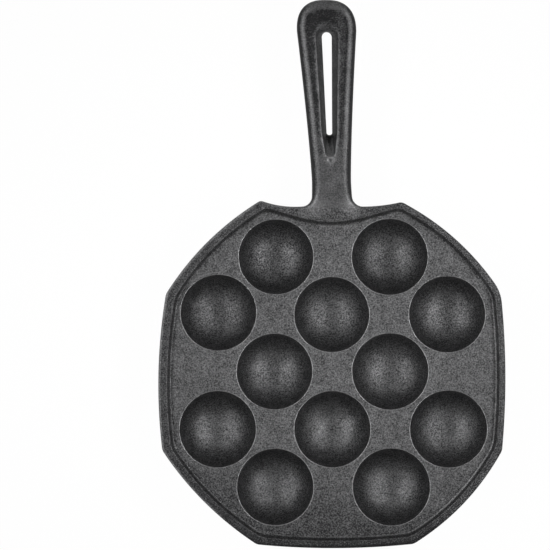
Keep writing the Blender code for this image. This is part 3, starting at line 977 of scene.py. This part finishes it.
def calculate(tree, operation, *values, clamp=False):
    """The result of a calculation with sockets and values."""
    inputs = {f"i{number}": value for number, value in enumerate(values)}
    return add_node(tree, "ShaderNodeMath", {"operation": operation, "use_clamp": clamp}, **inputs).outputs[0]


def remap(tree, value, low, high, new_low, new_high, settings=()):
    """A value taken from one range to another."""
    ends = {"From_Min": low, "From_Max": high, "To_Min": new_low, "To_Max": new_high}
    return add_node(tree, "ShaderNodeMapRange", settings, Value=value, **ends).outputs["Result"]


def cleared_tree(owner):
    """The emptied node tree of a material or a world."""
    owner.use_nodes = True
    owner.node_tree.nodes.clear()
    return owner.node_tree


def seasoned_cast_iron(name, iron, roughness, paleness, grain_depth, patch_depth, front_painted_shade=0.0, grain_share=0.3):
    """Grey iron cast in green sand and baked with oil.

    To the eye: nearly black, with a low broad sheen that breaks up over the sand's print, paler and smoother where
    hands and pans rub and where highlights are painted on, darker where shade is painted on, and faintly patchy
    where the oil pooled.
    """
    material = bpy.data.materials.new(name)
    tree = cleared_tree(material)
    place = add_node(tree, "ShaderNodeTexCoord").outputs["Object"]
    grain = add_node(
        tree, "ShaderNodeTexNoise", Vector=place, Scale=1 / iron.grain, Detail=3.0, Roughness=0.62
    ).outputs["Fac"]
    patch = add_node(
        tree, "ShaderNodeTexNoise", Vector=place, Scale=1 / iron.mottle, Detail=4.0, Roughness=0.55
    ).outputs["Fac"]
    # Paler where hands polish and where highlights are painted on, darker where shade is painted on
    worn_and_lit = add_node(tree, "ShaderNodeAttribute", {"attribute_name": "wear_and_painted_light"}).outputs["Fac"]
    if front_painted_shade:
        # Painted shade: the colour darkens towards the front, a little sooner on the left
        back = add_node(
            tree, "ShaderNodeVectorMath", {"operation": "DOT_PRODUCT"}, i0=place, i1=(0.2, 1.0, 0.0)
        ).outputs["Value"]
        darkening = remap(tree, back, -0.142, -0.105, -front_painted_shade, 0.0, {"interpolation_type": "SMOOTHSTEP"})
        worn_and_lit = calculate(tree, "ADD", worn_and_lit, darkening)
    grain_light = remap(tree, grain, 0.35, 0.65, -grain_share, grain_share, {"clamp": False})
    patch_light = remap(tree, patch, 0.35, 0.65, -0.07, 0.07, {"clamp": False})
    light = calculate(tree, "ADD", grain_light, patch_light)
    share = calculate(tree, "MULTIPLY_ADD", worn_and_lit, 0.8, paleness)
    pale_share = calculate(tree, "ADD", share, light, clamp=True)
    colour = add_node(
        tree, "ShaderNodeMix", {"data_type": "RGBA"}, i0=pale_share, i6=linear(iron.oil_crust_and_shade), i7=linear(iron.rubbed_iron_and_highlight)
    ).outputs[2]
    dull = remap(tree, pale_share, 0.0, 1.0, roughness + 0.06, roughness - 0.12)
    fine = add_node(tree, "ShaderNodeBump", Strength=1.0, Distance=grain_depth, Height=grain).outputs["Normal"]
    coarse = add_node(
        tree, "ShaderNodeBump", Strength=1.0, Distance=patch_depth, Height=patch, Normal=fine
    ).outputs["Normal"]
    shader = add_node(
        tree, "ShaderNodeBsdfPrincipled", Base_Color=colour, Roughness=dull, Metallic=0.93, Normal=coarse
    ).outputs["BSDF"]
    add_node(tree, "ShaderNodeOutputMaterial", Surface=shader)
    return material


def shown_as_background(tree):
    """1 where the camera looks, also by way of metal or glass, and 0 for the light that falls on things."""
    rays = add_node(tree, "ShaderNodeLightPath").outputs
    mirrored = calculate(tree, "MAXIMUM", rays["Is Glossy Ray"], rays["Is Transmission Ray"])
    return calculate(tree, "MAXIMUM", rays["Is Camera Ray"], mirrored)


# The stage


def set_floor():
    """A floor of white paper, clear from below so that the pan's underside can be looked at."""
    mesh = bpy.data.meshes.new("floor")
    half = FLOOR_HALF
    mesh.from_pydata([(-half, -half, 0), (half, -half, 0), (half, half, 0), (-half, half, 0)], [], [(0, 1, 2, 3)])
    floor = add_piece("floor", mesh)
    floor.location.z = -FLOOR_DROP
    paper = bpy.data.materials.new("white_paper")
    tree = cleared_tree(paper)
    share = calculate(tree, "MULTIPLY", shown_as_background(tree), 0.98)
    matt = add_node(tree, "ShaderNodeBsdfDiffuse", Color=linear("f2f2f2")).outputs[0]
    white = add_node(tree, "ShaderNodeEmission", Color=(1, 1, 1, 1), Strength=1.0).outputs[0]
    mixed = add_node(tree, "ShaderNodeMixShader", i0=share, i1=matt, i2=white).outputs[0]
    below = add_node(tree, "ShaderNodeNewGeometry").outputs["Backfacing"]
    clear = add_node(tree, "ShaderNodeBsdfTransparent").outputs[0]
    sided = add_node(tree, "ShaderNodeMixShader", i0=below, i1=mixed, i2=clear).outputs[0]
    add_node(tree, "ShaderNodeOutputMaterial", Surface=sided)
    mesh.materials.append(paper)


def set_lamps(scene, studio):
    """Three soft lamps on either side, turned to one spot on the plate."""
    aim = Vector((PAN_MIDDLE.x + POOL_RIGHT, PAN_MIDDLE.y + studio.pool_place, PLATE_TOP))
    for side, back, share in LAMPS:
        lamp = bpy.data.lights.new("lamp", "AREA")
        lamp.shape = "SQUARE"
        lamp.size = studio.lamp_size
        lamp.energy = studio.lamp_power * share
        lamp.spread = studio.lamp_spread
        stand = bpy.data.objects.new("lamp", lamp)
        scene.collection.objects.link(stand)
        stand.location = aim + Vector((LAMP_SIDE * side, back, LAMP_HEIGHT)) * studio.lamp_reach
        stand.rotation_euler = (stand.location - aim).to_track_quat("Z", "Y").to_euler()
        stand.visible_camera = False


def set_backdrop(scene, studio):
    """A backdrop that is white up to about 15 degrees above the floor. Higher up only the camera sees it as white."""
    world = bpy.data.worlds.new("studio")
    tree = cleared_tree(world)
    way = add_node(tree, "ShaderNodeTexCoord").outputs["Generated"]
    height = add_node(tree, "ShaderNodeSeparateXYZ", Vector=way).outputs["Z"]
    low = remap(tree, height, 0.35, 0.15, 0.0, 1.0)
    backdrop = calculate(tree, "MULTIPLY", shown_as_background(tree), low)
    camera_ray = add_node(tree, "ShaderNodeLightPath").outputs["Is Camera Ray"]
    white = calculate(tree, "MAXIMUM", camera_ray, backdrop)
    strength = remap(tree, white, 0.0, 1.0, studio.fill, 1.0)
    sky = add_node(tree, "ShaderNodeBackground", Color=(1, 1, 1, 1), Strength=strength).outputs[0]
    add_node(tree, "ShaderNodeOutputWorld", Surface=sky)
    scene.world = world


def set_camera(scene, studio):
    """A camera straight above, placed so that the pan sits in the picture as it does in the photograph."""
    lens = bpy.data.cameras.new("camera")
    lens.sensor_width = 36
    lens.lens = lens.sensor_width * (studio.camera_height - PLATE_TOP) / studio.picture_width
    lens.clip_start, lens.clip_end = 0.01, 20
    camera = bpy.data.objects.new("camera", lens)
    scene.collection.objects.link(camera)
    camera.location = (PAN_MIDDLE.x - 31.36 * MM, PAN_MIDDLE.y + 52.54 * MM, studio.camera_height)
    scene.camera = camera


# Operators


class TAKOYAKI_OT_cups(bpy.types.Operator):
    """Turn the twelve cups, each with its rounded lip, bowl and foot"""

    bl_idname = "takoyaki.cups"
    bl_label = "Make the cups"

    def execute(self, context):
        form, iron = context.scene.takoyaki_form, context.scene.takoyaki_iron
        material = seasoned_cast_iron(
            "cup_seasoned_cast_iron", iron, iron.cup_roughness, paleness=0.19, grain_depth=0.11 * MM, patch_depth=0.1 * MM
        )
        for number, (centre, mouth) in enumerate(CUPS, start=1):
            name = f"cup_{number:02d}_skin"
            finish_piece(add_piece(name, cup_mesh(name, centre, mouth, form)), f"cup_{number:02d}", material)
        return {"FINISHED"}


class TAKOYAKI_OT_plate(bpy.types.Operator):
    """Make the flat plate between the cups"""

    bl_idname = "takoyaki.plate"
    bl_label = "Make the plate"

    def execute(self, context):
        form, iron = context.scene.takoyaki_form, context.scene.takoyaki_iron
        # The plate gets painted shade towards its front
        material = seasoned_cast_iron(
            "plate_seasoned_cast_iron", iron, iron.plate_roughness, paleness=0.36, grain_depth=0.2 * MM,
            patch_depth=0.15 * MM, front_painted_shade=0.19
        )
        finish_piece(add_piece("griddle_plate_skin", plate_mesh(form)), "griddle_plate", material)
        return {"FINISHED"}


class TAKOYAKI_OT_rim(bpy.types.Operator):
    """Make the raised rim, with its rounded edges and the wall down to the plate"""

    bl_idname = "takoyaki.rim"
    bl_label = "Make the rim"

    def execute(self, context):
        form, iron = context.scene.takoyaki_form, context.scene.takoyaki_iron
        # The rim gets painted shade towards its front
        material = seasoned_cast_iron(
            "rim_seasoned_cast_iron", iron, iron.rim_roughness, paleness=0.18, grain_depth=0.2 * MM,
            patch_depth=0.15 * MM, front_painted_shade=0.12
        )
        skin, rim_faces, _, inner_faces, cut = casting_skin(form)
        rim = casting_piece("rim_skin", skin, rim_faces, inner_faces, cut, 1)
        skin.mesh.free()
        finish_piece(rim, "rim", material)
        return {"FINISHED"}


class TAKOYAKI_OT_handle(bpy.types.Operator):
    """Make the handle, with its dished top and the slot in its groove"""

    bl_idname = "takoyaki.handle"
    bl_label = "Make the handle"

    def execute(self, context):
        form, iron = context.scene.takoyaki_form, context.scene.takoyaki_iron
        material = seasoned_cast_iron(
            "handle_seasoned_cast_iron", iron, iron.handle_roughness, paleness=0.18, grain_depth=0.12 * MM,
            patch_depth=0.1 * MM, grain_share=0.18
        )
        skin, _, handle_faces, _, cut = casting_skin(form)
        handle = casting_piece("handle_skin", skin, handle_faces, [], cut, -1)
        skin.mesh.free()
        finish_piece(handle, "handle", material)
        return {"FINISHED"}


class TAKOYAKI_OT_stage(bpy.types.Operator):
    """Set the pale floor, the two rows of soft lamps, the backdrop and the camera straight above"""

    bl_idname = "takoyaki.stage"
    bl_label = "Set the stage"

    def execute(self, context):
        scene, studio = context.scene, context.scene.takoyaki_studio
        set_floor()
        set_lamps(scene, studio)
        set_backdrop(scene, studio)
        set_camera(scene, studio)
        scene.view_settings.view_transform = "Standard"
        return {"FINISHED"}


class TAKOYAKI_PT_panel(bpy.types.Panel):
    """Lists the pan's pieces, its sizes and the stage"""

    bl_label = "Takoyaki pan"
    bl_idname = "TAKOYAKI_PT_panel"
    bl_space_type = "VIEW_3D"
    bl_region_type = "UI"
    bl_category = "Takoyaki pan"

    def draw(self, context):
        for operator in OPERATORS:
            self.layout.operator(operator.bl_idname)
        for title, group in GROUPS.items():
            box = self.layout.box()
            box.label(text=title)
            values = getattr(context.scene, group)
            for name in type(values).__annotations__:
                box.prop(values, name)


OPERATORS = (TAKOYAKI_OT_cups, TAKOYAKI_OT_plate, TAKOYAKI_OT_rim, TAKOYAKI_OT_handle, TAKOYAKI_OT_stage)
GROUPS = {"Form": "takoyaki_form", "Iron": "takoyaki_iron", "Studio": "takoyaki_studio"}
CLASSES = (TakoyakiPanForm, TakoyakiPanIron, TakoyakiPanStudio) + OPERATORS + (TAKOYAKI_PT_panel,)


def register():
    for each in CLASSES:
        bpy.utils.register_class(each)
    bpy.types.Scene.takoyaki_form = PointerProperty(type=TakoyakiPanForm)
    bpy.types.Scene.takoyaki_iron = PointerProperty(type=TakoyakiPanIron)
    bpy.types.Scene.takoyaki_studio = PointerProperty(type=TakoyakiPanStudio)


def unregister():
    for group in GROUPS.values():
        delattr(bpy.types.Scene, group)
    for each in reversed(CLASSES):
        bpy.utils.unregister_class(each)


def main():
    register()
    bpy.ops.takoyaki.cups()
    bpy.ops.takoyaki.plate()
    bpy.ops.takoyaki.rim()
    bpy.ops.takoyaki.handle()
    bpy.ops.takoyaki.stage()


if __name__ == "__main__":
    main()
